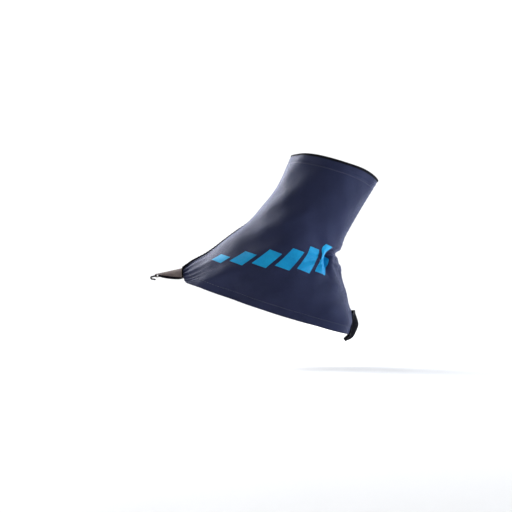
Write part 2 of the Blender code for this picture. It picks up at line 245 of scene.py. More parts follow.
def fine_folds(level, front, back, low, high):
    """How far the cloth stands out in its seams, puckers and stitched hems."""
    out = -0.55 * bell(front, 0.7) - 0.5 * bell(back, 0.7)
    out = out + 0.25 * bell(front - 3.0, 1.5) + 0.22 * bell(back - 3.2, 1.5)
    drawn = 0.09 + 0.22 * window(level, 0.2, 0.48, 0.1)
    out = out + drawn * np.sin(TAU * low / 3.0 + 0.9 * np.sin(low / 8)) * np.exp(-front / 8)
    out = out + 0.2 * np.sin(TAU * low / 4.7 + np.sin(low / 11)) * bell(back - 5, 3.2)
    fan = np.sin(TAU * front / (3.6 + 0.22 * low) + 0.8)
    out = out + 0.85 * (fan - 1) * np.exp(-low / 17) * bell(front, 20)
    out = out - 0.22 * bell(low - 6.5, 0.7) - 0.22 * bell(high - 8, 0.7)
    return out + 0.12 * np.sin(TAU * front / 7.5) * np.exp(-low / 5)


def make_surface():
    """The folded surface on a grid of rows and columns, with its lengths in mm."""
    share = np.linspace(0, 1, ROWS)[:, None]
    level = share - 0.25 * np.sin(TAU * share) / TAU
    turn = np.linspace(0, math.pi, TURNS)[None]
    spread = np.linspace(0, 1, COLUMNS)
    spread = spread - 0.6 * np.sin(TAU * spread) / TAU
    halves = []
    for side in (-1, 1):
        dense = plain_surface(level + 0 * turn, turn + 0 * level, side)
        arc = lengths_along(dense, 1)
        shares = arc / arc[:, -1:]
        half = [
            np.stack([np.interp(spread, s, row[:, k]) for k in range(3)], -1)
            for s, row in zip(shares, dense)
        ]
        halves.append(np.stack(half))
    points = np.concatenate([halves[0][:, ::-1], halves[1][:, 1:]], axis=1)
    lap = np.concatenate([-spread[::-1], spread[1:]])
    across = arc[:, -1:] * lap
    front, back = np.abs(across), arc[:, -1:] - np.abs(across)
    low = lengths_along(points, 0)
    high = low[-1:] - low
    smooth = points + normals_of(points) * broad_folds(points, np.sign(lap), front, back, low)[..., None]
    smooth[:, -1] = smooth[:, 0]
    return {
        "level": level[:, 0],
        "lap": lap,
        "shares": shares,
        "points": smooth * MM,
        "normals": normals_of(smooth),
        "rise": unit(np.gradient(smooth, axis=0)),
        "fine": fine_folds(level, front, back, low, high) * MM,
        "half": arc[:, -1],
        "across": across,
        "up": low,
    }


cloth = make_surface()
HEIGHT = float(cloth["up"][-1].mean())


def between(grid, row, column):
    """Values of a grid at arrays of rows and columns."""
    i = np.clip(row.astype(int), 0, grid.shape[0] - 2)
    j = np.clip(column.astype(int), 0, grid.shape[1] - 2)
    u, v = row - i, column - j
    if grid.ndim == 3:
        u, v = u[..., None], v[..., None]
    low = grid[i, j] * (1 - v) + grid[i, j + 1] * v
    return low * (1 - u) + (grid[i + 1, j] * (1 - v) + grid[i + 1, j + 1] * v) * u


def row_at(level):
    return np.interp(np.clip(level, 0, 1), cloth["level"], np.arange(ROWS))


def on_cloth(level, lap, depth=0.0):
    """Points at levels and laps, depth mm under the cloth's outer face.

    Past the hem or the rim the surface carries straight on. Deep layers don't take the fine folds.
    """
    level, lap, depth = (a.astype(float) for a in np.broadcast_arrays(level, lap, depth))
    lap = (lap + 1) % 2 - 1
    row = row_at(level)
    column = np.interp(lap, cloth["lap"], np.arange(len(cloth["lap"])))
    grids = (cloth[k] for k in ("points", "normals", "rise", "fine"))
    point, normal, rise, fine = (between(grid, row, column) for grid in grids)
    beyond = (level - np.clip(level, 0, 1)) * HEIGHT * MM
    out = fine * np.clip((1.4 - depth) / 0.8, 0, 1) - depth * MM
    return point + rise * beyond[..., None] + normal * out[..., None]


def half_girth(level):
    """From the front seam to the back seam round one side, in mm."""
    return np.interp(row_at(level), np.arange(ROWS), cloth["half"])


def lap_at(level, turn):
    """The lap of a turn in radians round the plain section, 0 at the front."""
    level, turn = (a.astype(float) for a in np.broadcast_arrays(level, turn))
    return np.sign(turn) * between(cloth["shares"], row_at(level), np.abs(turn) / math.pi * (TURNS - 1))


def cloth_uv(level, lap):
    """Cloth coordinates in cm."""
    return np.stack([half_girth(level) * lap / 10, level * HEIGHT / 10], -1)


# --- materials ---


def add_node(tree, kind, inputs=None, **settings):
    made = tree.nodes.new("ShaderNode" + kind)
    for key, value in settings.items():
        setattr(made, key, value)
    for key, value in (inputs or {}).items():
        if isinstance(value, bpy.types.NodeSocket):
            tree.links.new(value, made.inputs[key])
        else:
            made.inputs[key].default_value = value
    return made


def new_material(name, **constants):
    """A material with its shader's constants, its node tree, and its own coordinates in metres."""
    made = bpy.data.materials.new(name)
    made.use_nodes = True
    tree = made.node_tree
    for key, value in constants.items():
        tree.nodes["Principled BSDF"].inputs[key.replace("_", " ")].default_value = value
    return made, tree, add_node(tree, "TexCoord").outputs["Object"]


def dress(made, colour, roughness, *layers):
    """Link a material's colour, its roughness, and its bumps of (height, distance in mm) layers."""
    tree = made.node_tree
    shader = tree.nodes["Principled BSDF"]
    tree.links.new(colour, shader.inputs["Base Color"])
    tree.links.new(roughness, shader.inputs["Roughness"])
    if layers:
        tree.links.new(bumps(tree, *layers), shader.inputs["Normal"])
    return made


def maths(tree, operation, a, b=0.0):
    return add_node(tree, "Math", {0: a, 1: b}, operation=operation).outputs[0]


def noise(tree, vector, scale, detail=3.0, roughness=0.55):
    inputs = {"Vector": vector, "Scale": scale, "Detail": detail, "Roughness": roughness}
    return add_node(tree, "TexNoise", inputs).outputs["Fac"]


def ramp(tree, factor, *stops):
    """A colour ramp through (position, colour) stops."""
    made = add_node(tree, "ValToRGB", {"Fac": factor})
    elements = made.color_ramp.elements
    while len(elements) < len(stops):
        elements.new(0.5)
    for element, (position, colour) in zip(elements, stops):
        element.position = position
        element.color = (*colour, 1.0)
    return made.outputs["Color"]


def remap(tree, value, low, high, from_low=0.0, from_high=1.0):
    inputs = {"Value": value, "From Min": from_low, "From Max": from_high}
    inputs.update({"To Min": low, "To Max": high})
    return add_node(tree, "MapRange", inputs).outputs["Result"]


def bumps(tree, *layers):
    """A normal from (height, distance in mm) layers."""
    normal = None
    for height, distance in layers:
        inputs = {"Height": height, "Distance": distance * MM, "Strength": 1.0}
        if normal is not None:
            inputs["Normal"] = normal
        normal = add_node(tree, "Bump", inputs).outputs["Normal"]
    return normal


KNIT = (0.62, 0.5, 1.4, 0.35)  # the stretch knit's pitches in mm, ratio and slant
SEWING = (2600.0, 0.4, 0.06, 0.2)  # the sewing thread's grain, smoothest roughness, depth and sheen


def threads(tree, across, upward, ratio, slant=0.0):
    """A woven height pattern from the cloth's own coordinates in mm: across and upward are its pitches."""
    uv = add_node(tree, "UVMap", uv_map="cloth").outputs["UV"]
    parts = add_node(tree, "SeparateXYZ", {0: uv})
    x, y = parts.outputs[0], parts.outputs[1]
    leaning = maths(tree, "ADD", x, maths(tree, "MULTIPLY", y, slant))
    warp = maths(tree, "SINE", maths(tree, "MULTIPLY", leaning, TAU * 10 / across))
    weft = maths(tree, "SINE", maths(tree, "MULTIPLY", y, TAU * 10 / upward))
    both = maths(tree, "MULTIPLY", warp, weft)
    return maths(tree, "ADD", both, maths(tree, "MULTIPLY", warp, ratio - 1.0))


def stretch_fabric(name, dark, light, sheen=0.46):
    """Stretch knit: fine ribs, a soft brushed sheen, and an uneven dye."""
    made, tree, place = new_material(
        name,
        Specular_IOR_Level=0.16,
        Sheen_Weight=sheen,
        Sheen_Roughness=0.27,
        Sheen_Tint=(0.5, 0.57, 1.0, 1.0),
        Specular_Tint=(0.62, 0.7, 1.0, 1.0),
    )
    patches, heather = noise(tree, place, 22.0, 4.0), noise(tree, place, 900.0, 2.0, 0.7)
    mixed = maths(tree, "ADD", maths(tree, "MULTIPLY", patches, 0.6), maths(tree, "MULTIPLY", heather, 0.4))
    colour = ramp(tree, mixed, (0.32, dark), (0.68, light))
    creases, knit = noise(tree, place, 70.0, 3.0), threads(tree, *KNIT)
    roughness = remap(tree, heather, 0.5, 0.68)
    return dress(made, colour, roughness, (creases, 0.5), (heather, 0.10), (knit, 0.035))


def webbing(name, dark, light, rib, roughness, sheen=0.2, depth=0.12, specular=0.2):
    """Flat woven tape with ribs across it and fuzz on it."""
    made, tree, place = new_material(
        name, Specular_IOR_Level=specular, Sheen_Weight=sheen, Sheen_Roughness=0.5
    )
    weave = threads(tree, rib, rib * 0.8, 1.3, 0.5)
    fuzz, worn = noise(tree, place, 1300.0, 3.0, 0.7), noise(tree, place, 160.0, 4.0)
    worn_fuzz = maths(tree, "ADD", worn, maths(tree, "MULTIPLY", fuzz, 0.5))
    shade = maths(tree, "ADD", maths(tree, "MULTIPLY", weave, 0.22), worn_fuzz)
    colour = ramp(tree, shade, (0.35, dark), (1.05, light))
    rough = remap(tree, worn, roughness - 0.1, roughness + 0.12)
    return dress(made, colour, rough, (weave, depth), (fuzz, 0.06))


def ribbed_elastic(name, dark, light):
    """Elastic: deep ribs along its length, with the rubber's give between them."""
    made, tree, place = new_material(name, Specular_IOR_Level=0.35, Sheen_Weight=0.15)
    ribs, fuzz = threads(tree, 0.8, 1.3, 1.2), noise(tree, place, 1500.0, 2.0)
    colour = ramp(tree, remap(tree, ribs, 0, 1, -1, 1), (0.1, dark), (0.9, light))
    return dress(made, colour, remap(tree, fuzz, 0.6, 0.85), (ribs, 0.2), (fuzz, 0.05))


def print_film(name, dark, light):
    """Heat-pressed print: a thin rubbery film that takes some of the cloth's texture."""
    made, tree, place = new_material(name, Specular_IOR_Level=0.12, Coat_Weight=0.03, Coat_Roughness=0.35)
    broad, fine = noise(tree, place, 45.0, 3.0), noise(tree, place, 700.0, 2.0)
    mixed = maths(tree, "ADD", maths(tree, "MULTIPLY", broad, 0.75), maths(tree, "MULTIPLY", fine, 0.25))
    colour = ramp(tree, mixed, (0.35, dark), (0.65, light))
    roughness = remap(tree, broad, 0.36, 0.5)
    return dress(made, colour, roughness, (threads(tree, *KNIT), 0.02), (fine, 0.04))


def grained(name, dark, light, scale, smoothest, depth, sheen):
    """Sewing thread and moulded hook tape: a fine grain at a scale."""
    made, tree, place = new_material(name, Specular_IOR_Level=0.5, Sheen_Weight=sheen)
    grain = noise(tree, place, scale, 3.0)
    colour = ramp(tree, grain, (0.3, dark), (0.7, light))
    return dress(made, colour, remap(tree, grain, smoothest, smoothest + 0.25), (grain, depth))


def coated_metal(name, dark, light):
    """Dark coated steel, rubbed brighter in places."""
    made, tree, place = new_material(name, Metallic=1.0)
    rubbed, grain = noise(tree, place, 240.0, 4.0), noise(tree, place, 1600.0, 2.0)
    colour = ramp(tree, rubbed, (0.45, dark), (0.75, light))
    return dress(made, colour, remap(tree, rubbed, 0.5, 0.28, 0.3, 0.7), (grain, 0.02))


NAVY = stretch_fabric("navy_stretch", (0.0085, 0.0105, 0.029), (0.0155, 0.0185, 0.048))
NAVY_INSIDE = stretch_fabric("navy_facing", (0.007, 0.009, 0.024), (0.012, 0.015, 0.038), 0.08)
# Near-black: painted shade, standing in for the shadow line at the rim fold and along the front piping.
PAINTED_SHADE_DARK = webbing("dark_painted_shade", (0.0015, 0.0015, 0.003), (0.004, 0.004, 0.008), 0.7, 0.8, 0.0, 0.08, 0.1)
TAPE = webbing("navy_tape", (0.006, 0.007, 0.015), (0.013, 0.014, 0.028), 0.9, 0.8)
ELASTIC = ribbed_elastic("dark_elastic", (0.004, 0.004, 0.006), (0.014, 0.014, 0.02))
TAUPE = webbing("taupe_webbing", (0.07, 0.052, 0.048), (0.19, 0.15, 0.14), 1.0, 0.85, 0.12, 0.16)
BLACK = webbing("black_webbing", (0.0011, 0.001, 0.0018), (0.004, 0.0037, 0.006), 0.8, 0.78, 0.0, 0.05, 0.03)
HOOKS = grained("hook_plastic", (0.004, 0.004, 0.005), (0.014, 0.014, 0.016), 900.0, 0.35, 0.05, 0.0)
METAL = coated_metal("dark_metal", (0.012, 0.011, 0.011), (0.06, 0.057, 0.055))
CYAN = print_film("cyan_film", (0.0024, 0.18, 0.38), (0.005, 0.27, 0.50))
NAVY_THREAD = grained("navy_thread", (0.012, 0.013, 0.028), (0.03, 0.033, 0.06), *SEWING)
BLACK_THREAD = grained("black_thread", (0.003, 0.003, 0.005), (0.012, 0.012, 0.016), *SEWING)
LABEL = webbing("label_cloth", (0.30, 0.30, 0.31), (0.46, 0.46, 0.47), 0.5, 0.8)

# --- mesh building ---


def add_piece(name, slot, material, verts, faces, uvs=None, sharp=50):
    """A closed mesh, turned so that its faces look outwards. Its cloth coordinates are in cm."""
    verts = np.asarray(verts, float).reshape(-1, 3)
    mesh = bpy.data.meshes.new(name)
    mesh.from_pydata(verts.tolist(), [], [tuple(int(k) for k in f) for f in faces])
    mesh.update()
    triangles = np.empty(len(mesh.loop_triangles) * 3, np.int32)
    mesh.loop_triangles.foreach_get("vertices", triangles)
    a, b, c = np.moveaxis((verts - verts.mean(0))[triangles.reshape(-1, 3)], 1, 0)
    if (a * np.cross(b, c)).sum() < 0:
        mesh.flip_normals()
    layer = mesh.uv_layers.new(name="cloth")
    corners = np.empty(len(mesh.loops), np.int32)
    mesh.loops.foreach_get("vertex_index", corners)
    uvs = verts[:, :2] * 100 if uvs is None else np.asarray(uvs, float).reshape(-1, 2)
    layer.data.foreach_set("uv", uvs[corners].astype(np.float32).ravel())
    mesh.shade_smooth()
    mesh.set_sharp_from_angle(angle=math.radians(sharp))
    mesh.materials.append(material)
    return link(name, mesh)


def grid_faces(rows, columns, offset, ring, flip):
    i, j = np.meshgrid(np.arange(rows - 1), np.arange(columns - (0 if ring else 1)), indexing="ij")
    k = (j + 1) % columns
    corners = [i * columns + j, (i + 1) * columns + j, (i + 1) * columns + k, i * columns + k]
    faces = np.stack(corners, -1).reshape(-1, 4) + offset
    return faces[:, ::-1] if flip else faces


def shell(name, slot, material, outer, inner, uv, ring=False, sharp=50):
    """A closed sheet between two grids of points."""
    rows, columns = outer.shape[:2]
    count = rows * columns
    faces = [grid_faces(rows, columns, 0, ring, False), grid_faces(rows, columns, count, ring, True)]
    index = np.arange(count).reshape(rows, columns)
    if ring:
        loops = [np.append(index[0], index[0, 0]), np.append(index[-1], index[-1, 0])[::-1]]
    else:
        loops = [np.concatenate([index[0], index[1:, -1], index[-1, -2::-1], index[-2::-1, 0]])]
    for loop in loops:
        a, b = loop[:-1], loop[1:]
        faces.append(np.stack([a, b, b + count, a + count], -1))
    verts = np.concatenate([outer.reshape(-1, 3), inner.reshape(-1, 3)])
    uvs = np.concatenate([uv.reshape(-1, 2)] * 2)
    return add_piece(name, slot, material, verts, np.concatenate(faces), uvs, sharp)


def layer(name, slot, material, levels, laps_at, depths, rows, columns, ring=False):
    """A layer of cloth between two levels and two depths.

    laps_at gives the laps of its two sides at an array of levels.
    """
    level = np.linspace(*levels, rows)
    start, end = (np.broadcast_to(lap, level.shape)[:, None] for lap in laps_at(level))
    lap = lerp(start, end, np.linspace(0, 1, columns, endpoint=not ring)[None])
    level = level[:, None] + 0 * lap
    outer, inner = (on_cloth(level, lap, depth) for depth in depths)
    return shell(name, slot, material, outer, inner, cloth_uv(level, lap), ring)


def laps_of_turns(start, end):
    return lambda level: (lap_at(level, start), lap_at(level, end))


def laps_by_seam(half, seam):
    """A strip half mm to each side of a seam: 0 is the front one and 1 the back one."""
    return lambda level: (seam - half / half_girth(level), seam + half / half_girth(level))


def swept(name, slot, material, sections, around, along, ring=False):
    """A closed piece swept through sections, each a loop of points.

    around and along are its sizes in mm.
    """
    columns, count = sections.shape[:2]
    i, j = np.meshgrid(np.arange(columns - (0 if ring else 1)), np.arange(count), indexing="ij")
    k, m = (i + 1) % columns, (j + 1) % count
    faces = np.stack([i * count + j, k * count + j, k * count + m, i * count + m], -1).reshape(-1, 4).tolist()
    if not ring:
        faces.append(list(range(count)))
        faces.append(list(range(columns * count - 1, (columns - 1) * count - 1, -1)))
    u, v = np.linspace(0, along / 10, columns)[:, None], np.linspace(0, around / 10, count)[None]
    uv = np.stack(np.broadcast_arrays(u, v), -1)
    return add_piece(name, slot, material, sections, faces, uv, sharp=60)


def edging(name, slot, material, profile, laps, columns, at_rim, ring=False):
    """A folded edge: a closed profile of (mm past the edge, depth in mm), run along the hem or the rim."""
    lap = np.linspace(*laps, columns, endpoint=not ring)[:, None]
    past, depth = np.array(profile, float).T[:, None] + 0 * lap
    level = 1 + past / HEIGHT if at_rim else -past / HEIGHT
    along = abs(laps[1] - laps[0]) * half_girth(1.0 if at_rim else 0.0)
    sections = on_cloth(level, lap + 0 * past, depth)
    return swept(name, slot, material, sections, 22, float(along), ring)


def tubes(name, slot, material, paths, radius, sides=6):
    """Short round threads along paths of points, closed at both ends, as one piece. radius is in mm."""
    verts, faces = [], []
    for path in paths:
        path = np.asarray(path, float)
        along = unit(np.gradient(path, axis=0))
        helper = np.eye(3)[np.argmin(np.abs(along.mean(0)))]
        side = unit(np.cross(along, helper))
        other = np.cross(along, side)
        count, base = len(path), len(verts)
        girth = radius * MM * (0.45 + 0.55 * (1 - np.linspace(-1, 1, count) ** 4))
        for k in range(count):
            for a in range(sides):
                angle = TAU * a / sides
                verts.append(path[k] + girth[k] * (side[k] * math.cos(angle) + other[k] * math.sin(angle)))
        for k in range(count - 1):
            p, q = base + k * sides, base + (k + 1) * sides
            for a in range(sides):
                b = (a + 1) % sides
                faces.append((p + a, p + b, q + b, q + a))
        faces.append(tuple(base + a for a in reversed(range(sides))))
        faces.append(tuple(base + (count - 1) * sides + a for a in range(sides)))
    return add_piece(name, slot, material, verts, faces, sharp=80)


def along_line(level, lap):
    """How far along a line of levels and laps each of its points is, in mm."""
    return path_lengths(on_cloth(level, lap)) / MM


STITCH_LIFT, STITCH_DIP = 0.10, 0.36  # how far a stitch stands out of the cloth, and its ends dip back
ZIGZAG_LIFT, ZIGZAG_DIP = 0.08, 0.3


def stitches(level, lap, pitch=2.6, fill=0.68):
    """Stitches along a line of levels and laps: short paths that dip into the cloth at both ends."""
    length = along_line(level, lap)
    paths = []
    for start in np.arange(0.4, length[-1] - pitch, pitch):
        at = np.linspace(start, start + pitch * fill, 6)
        sunk = STITCH_DIP * np.linspace(-1, 1, 6) ** 4 - STITCH_LIFT
        paths.append(on_cloth(np.interp(at, length, level), np.interp(at, length, lap), sunk))
    return paths


def zigzag(level, lap, width, pitch):
    """One thread that runs to and fro across a line of constant lap, as an overlock does."""
    length = along_line(level, lap)
    count = int(length[-1] / pitch)
    paths = []
    for k in range(count):
        at = np.interp(np.array([k, k + 0.5]) * pitch, length, level)
        side = np.array([-1, 1]) * (1 if k % 2 else -1) * width / half_girth(at)
        share = np.linspace(0, 1, 5)
        sunk = ZIGZAG_DIP * np.linspace(-1, 1, 5) ** 4 - ZIGZAG_LIFT
        levels, laps = np.interp(share, (0, 1), at), np.interp(share, (0, 1), side)
        paths.append(on_cloth(levels, float(lap[0]) + laps, sunk))
    return paths


def bend(piece):
    """Bake the transform of cloth that crosses the ankle between the skirt and the cuff."""
    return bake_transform(piece)


# --- fabric ---

FABRIC_THICK = 0.55
SEAM_GAP = 0.05  # how far each panel stops short of the seams' middle, in mm
BAND_DEPTHS, TAPE_DEPTHS, PATCH_DEPTHS = (0.65, 1.1), (1.95, 2.4), (1.95, 2.45)
TAPE_HALF, TAPE_LEVELS = 2.4, (0.15, 0.925)


def side_panels():
    made = {}
    middle = COLUMNS - 1
    for (name, side), columns in zip(SIDES, (slice(0, middle + 1), slice(middle, None))):
        level = cloth["level"][:, None] + 0 * cloth["across"][:, columns]
        edge = 1 - SEAM_GAP / cloth["half"][:, None]
        lap = np.clip(cloth["lap"][None, columns] * side, 1 - edge, edge) * side
        outer, inner = on_cloth(level, lap, 0.0), on_cloth(level, lap, FABRIC_THICK)
        uv = np.stack([half_girth(level) * lap, cloth["up"][:, columns]], -1) / 10
        panel = shell(f"{name}_panel", "navy_fabric", NAVY, outer, inner, uv)
        bend(panel)
        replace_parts(panel, *(f"{name}_{zone}_panel" for zone in ("skirt", "ankle", "leg")))
        made[name] = panel
    return made


RIM_FOLD = (
    (-1.3, -0.05), (-0.6, -0.2), (0.15, -0.2), (0.6, 0.05), (0.85, 0.5), (0.9, 0.95), (0.75, 1.4),
    (0.35, 1.75), (-0.6, 1.85), (-4.0, 1.82), (-9.0, 1.78), (-9.0, 1.3), (-4.0, 1.25), (-0.6, 1.22),
    (-0.05, 1.0), (0.06, 0.5), (0.05, 0.0), (-0.6, -0.04),
)
HEM_FOLD = (
    (-0.6, -0.06), (0.1, -0.1), (0.5, 0.15), (0.7, 0.6), (0.68, 1.05), (0.4, 1.5), (-0.2, 1.7),
    (-3.5, 1.72), (-7.4, 1.7), (-7.4, 1.24), (-3.5, 1.22), (-0.4, 1.2), (0.04, 0.9), (0.05, 0.1),
    (-0.3, -0.02),
)


def hems():
    """The folded rim, near-black as a painted shadow line, the turned hem on each side, and the elastic
    inside each.
    """
    top = edging("top_hem", "navy_fabric", PAINTED_SHADE_DARK, RIM_FOLD, (-1, 1), 520, True, ring=True)
    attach(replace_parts(top, "top_facing"), "cuff")
    whole = lambda level: (-1.0, 1.0)
    band = layer("top_elastic_band", "elastic", ELASTIC, (0.95, 0.992), whole, BAND_DEPTHS, 6, 400, ring=True)
    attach(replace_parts(band, "top_elastic"), "cuff")
    parts = {"lateral": [], "medial": []}
    for name, side in SIDES:
        ends = (0.003 * side, 0.997 * side)
        fold = edging(f"{name}_hem", "navy_fabric", NAVY_INSIDE, HEM_FOLD, ends, 420, False)
        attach(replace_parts(fold, f"{name}_hem_facing"), "skirt")
        inset = lambda level, side=side: (0.07 * side, 0.93 * side)
        levels = (0.006, 0.04)
        band = layer(f"{name}_hem_elastic_band", "elastic", ELASTIC, levels, inset, BAND_DEPTHS, 6, 300)
        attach(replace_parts(band, f"{name}_hem_elastic"), "skirt")
        parts[name] += [fold, band]
    return parts


FRONT_PATCH_TURN, HEEL_PATCH_TURN = 0.34, 0.17  # how far round each patch reaches from its seam
# The piping's last level, its half width and half height, and its middle's height over the cloth
PIPING_END, PIPING_HALVES, PIPING_LIFT = 0.50, (1.2, 1.1), 0.65


def seams():
    """The two seams: their tapes and patches inside, and the piping down the front of the skirt, near-black
    as painted shade.
    """
    for name, seam in (("front", 0), ("rear", 1)):
        laps = laps_by_seam(TAPE_HALF, seam)
        tape = layer(f"{name}_inner_tape", "seam_tape", TAPE, TAPE_LEVELS, laps, TAPE_DEPTHS, 120, 7)
        bend(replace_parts(tape, f"{name}_seam_tape"))
    laps = laps_of_turns(-FRONT_PATCH_TURN, FRONT_PATCH_TURN)
    patch = layer("front_inner_patch", "seam_tape", TAPE, (0.004, 0.062), laps, PATCH_DEPTHS, 14, 60)
    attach(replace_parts(patch, "front_anchor_patch"), "skirt")
    heel_turn = math.pi - HEEL_PATCH_TURN
    laps = lambda level: (lap_at(level, heel_turn), 2 - lap_at(level, heel_turn))
    patch = layer("heel_inner_patch", "seam_tape", TAPE, (0.004, 0.13), laps, PATCH_DEPTHS, 24, 40)
    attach(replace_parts(patch, "heel_anchor_patch"), "skirt")
    level = np.linspace(0.0, PIPING_END, 240)[:, None]
    angle = np.linspace(0, TAU, 14, endpoint=False)[None]
    size = np.clip((PIPING_END - level) / 0.08, 0.02, 1) ** 0.6 * (1.3 - 1.3 * level)
    lap = PIPING_HALVES[0] * size * np.cos(angle) / half_girth(level)
    depth = -PIPING_LIFT - PIPING_HALVES[1] * size * np.sin(angle)
    sections = on_cloth(level + 0 * lap, lap, depth)
    # The piping is a raised seam ridge; its near-black colour is painted shade along the front seam.
    bend(swept("front_piping", "navy_fabric", PAINTED_SHADE_DARK, sections, 5, 90))


def stitching():
    """Visible sewing on the cloth, one piece for each line or group of lines."""
    ring = np.linspace(-0.999, 0.999, 700)
    rows = stitches(1 - 8.0 / HEIGHT + 0 * ring, ring)
    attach(tubes("rim_stitches", "navy_fabric", NAVY_THREAD, rows, 0.16), "cuff")
    for name, side in SIDES:
        lap = np.linspace(0.035, 0.985, 600) * side
        rows = stitches(6.5 / HEIGHT + 0 * lap, lap)
        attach(tubes(f"{name}_hem_stitches", "navy_fabric", NAVY_THREAD, rows, 0.16), "skirt")
        level = np.linspace(0.54, 0.985, 300)
        lap = side * (1 - 5.4 / half_girth(level))
        rows = stitches(level, lap, pitch=2.9, fill=0.72)
        bend(tubes(f"{name}_rear_stitches", "navy_fabric", NAVY_THREAD, rows, 0.17))
    level = np.linspace(0.51, 0.94, 300)
    rows = zigzag(level, 0 * level, 1.3, 2.2)
    bend(tubes("front_seam_stitches", "navy_fabric", NAVY_THREAD, rows, 0.13))
    level = np.linspace(0.14, 0.95, 500)
    rows = zigzag(level, 0 * level - 1, 1.2, 2.2)
    bend(tubes("rear_seam_stitches", "navy_fabric", NAVY_THREAD, rows, 0.13))


# --- tabs and hook ---

TAB_ROOT, HOOK_PIN = np.array((-113.3, 0.0, -11.2)), np.array((-137.6, 0.0, -17.9))
TAB_HALVES, TAB_ARCH, TAB_ARCH_END = (7.5, 2.8), 8.5, 0.92
LOOP_RADIUS, LOOP_TAIL = 1.3, (13.5, 0.0, -0.8)
LOOP_LIFT = 0.8  # how far the tail rises to lie against the tab above it
STRAP_STITCH_DIP = 0.3  # how far the ends of a stitch dip into a strap


def strap(name, slot, material, centres, halves, arches, thick, columns=25, rise=None):
    """A strap with rolled edges along centres in the middle plane.

    Its middle stands its arch above its edges, along its own normal or along rise. Also gives its mid
    surface and the normals of that, for the pieces sewn to it.
    """
    centres, halves, arches = (np.asarray(a, float) for a in (centres, halves, arches))
    along = unit(np.gradient(centres, axis=0))
    normal = np.stack([along[:, 2], 0 * along[:, 1], -along[:, 0]], -1)
    share = np.sin(np.linspace(-1, 1, columns) * math.pi / 2)
    lift = np.broadcast_to(normal if rise is None else np.array(rise, float), normal.shape)
    middle = centres[:, None] + np.array((0, 1.0, 0)) * (halves[:, None] * share)[..., None]
    middle = middle - lift[:, None] * (arches[:, None] * share**2)[..., None]
    faces = unit(np.cross(np.gradient(middle, axis=0), np.gradient(middle, axis=1)))
    faces = faces * np.sign((faces * normal[:, None]).sum(-1))[..., None]
    thin = (thick / 2 * np.sqrt(1 - 0.9 * np.abs(share) ** 10))[None, :, None]
    outer, inner = (middle + faces * thin) * MM, (middle - faces * thin) * MM
    length = path_lengths(centres)
    uv = np.stack(np.broadcast_arrays(halves[:, None] * share, length[:, None]), -1) / 10
    return shell(name, slot, material, outer, inner, uv, sharp=60), middle, faces


def sewn_line(middle, faces, row, column, lift):
    """A path over a strap at arrays of rows and columns of its mid surface, lift mm above it."""
    return (between(middle, row, column) + between(faces, row, column) * lift) * MM


def stitch_run(middle, faces, start, end, count, lift):
    """Stitches between two (row, column) places on a strap."""
    paths = []
    for k in range(count):
        share = (k + np.linspace(0.12, 0.88, 6)) / count
        row, column = lerp(start[0], end[0], share), lerp(start[1], end[1], share)
        sunk = lift - STRAP_STITCH_DIP * np.linspace(-1, 1, 6)[:, None] ** 4
        paths.append(sewn_line(middle, faces, row, column, sunk))
    return paths


def sewn_on(piece):
    """Bake the transform of a piece of the front tab, whose webbing is sewn to the cloth at its root."""
    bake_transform(piece)


def front_tab():
    """Webbing from the gathered tip of the cloth, round the hook's bar and back, with near-black tubes just
    under its edges as painted shade.
    """
    loop_top = HOOK_PIN + np.array((0, 0, LOOP_RADIUS))
    straight, turned, returned = 40, 26, 16
    reach = np.linspace(-0.02, 1, straight, endpoint=False)
    centres = [lerp(TAB_ROOT, loop_top, reach[:, None])]
    angle = np.linspace(math.pi / 2, 1.5 * math.pi, turned)[:, None]
    centres.append(HOOK_PIN + np.concatenate([np.cos(angle), 0 * angle, np.sin(angle)], 1) * LOOP_RADIUS)
    back = np.linspace(0.05, 1, returned)[:, None]
    lifted = np.array((0, 0, LOOP_LIFT)) * soft_step(back * LOOP_TAIL[0] / 4)
    centres.append(centres[-1][-1] + np.array(LOOP_TAIL) * back + lifted)
    centres = np.concatenate(centres)
    reach = np.r_[reach, np.ones(turned + returned)]
    halves = lerp(*TAB_HALVES, reach)
    arches = TAB_ARCH * np.clip(1 - reach / TAB_ARCH_END, 0, 1) ** 0.75
    tab, middle, faces = strap(
        "front_tab_webbing", "taupe_webbing", TAUPE, centres, halves, arches, 1.0, rise=(0, 0, 1)
    )
    sewn_on(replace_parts(tab, "front_tab"))
    last = middle.shape[1] - 1.0
    # Near-black tubes hung just under the strap's two edges and its tail: painted shade under the tab.
    paths = []
    for column in (0.0, last):
        row = np.linspace(0.3, straight - 2.8, 60)
        outward = 1 if column else -1
        path = sewn_line(middle, faces, row, column + 0 * row, -0.25)
        below = (0.55 * bell(row, 6.0) - 0.9)[:, None] * np.array((0, 0, 1.0))
        paths.append(path + (below + np.array((0, 0.1 * outward, 0))) * MM)
    edge = tubes("front_tab_shade_edges", "black_webbing", BLACK, paths, 1.3, 12)
    sewn_on(edge)
    paths = []
    for row in (straight - 9.0, straight - 12.0):
        paths += stitch_run(middle, faces, (row, 4), (row, last - 4), 5, 0.52)
    for column in (5.0, last - 5.0):
        paths += stitch_run(middle, faces, (3.0, column), (straight - 9.0, column), 11, 0.52)
    sewn_on(tubes("front_tab_stitches", "taupe_webbing", BLACK_THREAD, paths, 0.14))
    root = np.linspace(-1, 1, 48)
    arch = TAB_ROOT + np.stack([0.6 + 0.3 * root**2, root * 8.0, 0.3 - 9.4 * root**2], -1)
    ends = tubes("tab_seam", "black_webbing", BLACK, [arch * MM], 0.8, 12)
    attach(ends, "skirt")


HOOK_HALF, HOOK_THICK, HOOK_LENGTH, HOOK_DROP, HOOK_BEND, HOOK_RETURN = 4.6, 1.4, 5.2, 0.9, 1.2, 3.3
SLOT = (0.35, 2.4, 3.4)  # where it starts and ends ahead of the pin, and its half width


